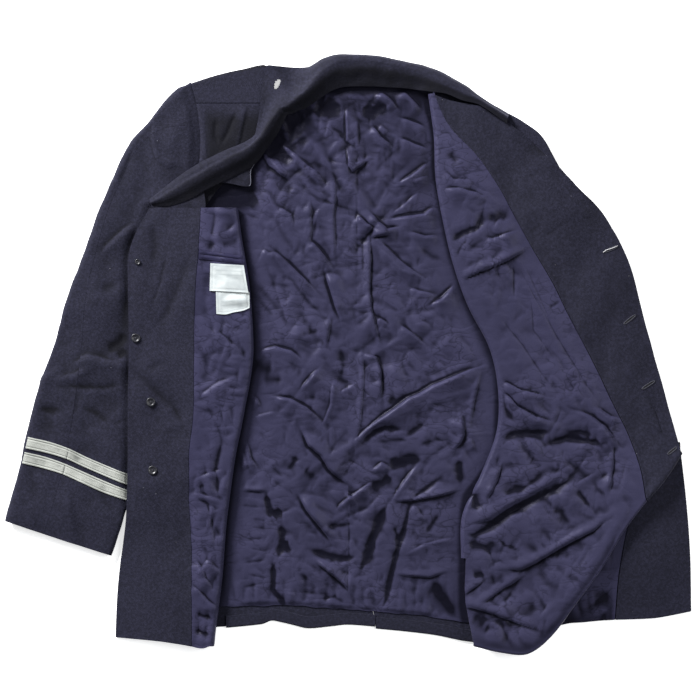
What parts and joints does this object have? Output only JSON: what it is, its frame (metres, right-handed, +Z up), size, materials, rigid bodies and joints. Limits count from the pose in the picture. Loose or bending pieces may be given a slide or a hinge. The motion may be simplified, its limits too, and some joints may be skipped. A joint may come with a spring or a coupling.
{
  "type": "dress uniform jacket",
  "caption": "Navy wool dress uniform jacket laid flat on its back, fronts flung open over the purple-navy satin lining, silver braid round the cuff",
  "frame": {"origin": "the middle of the jacket's outline on the surface that it lies on", "axes": "+Z is up, away from the surface; +Y points to the collar; +X points to the wearer's left, the picture's right"},
  "size_m": [0.9571, 0.8388, 0.0258],
  "materials": {
    "wool": "matt twill",
    "lining": "satin",
    "braid": "ribbed braid",
    "label": "woven tape",
    "button": "satin"
  },
  "bodies": {
    "root": {"back_right": "wool", "back_left": "wool", "side_panel_right": "wool", "side_panel_left": "wool", "front_right": "wool", "front_left": "wool", "front_right_shoulder": "wool", "front_left_shoulder": "wool", "facing_right": "wool", "facing_left": "wool", "lapel_right": "wool", "collar": "wool", "sleeve_right_top": "wool", "sleeve_right_under": "wool", "sleeve_left_top": "wool", "sleeve_left_under": "wool", "hanger_loop": "wool", "back_lining_right": "lining", "back_lining_left": "lining", "front_lining_right": "lining", "front_lining_left": "lining", "inside_pocket": "lining", "braid_upper": "braid", "braid_lower": "braid", "label_upper": "label", "label_lower": "label", "button_1": "button", "button_2": "button", "button_3": "button", "button_4": "button"}
  },
  "joints": []
}
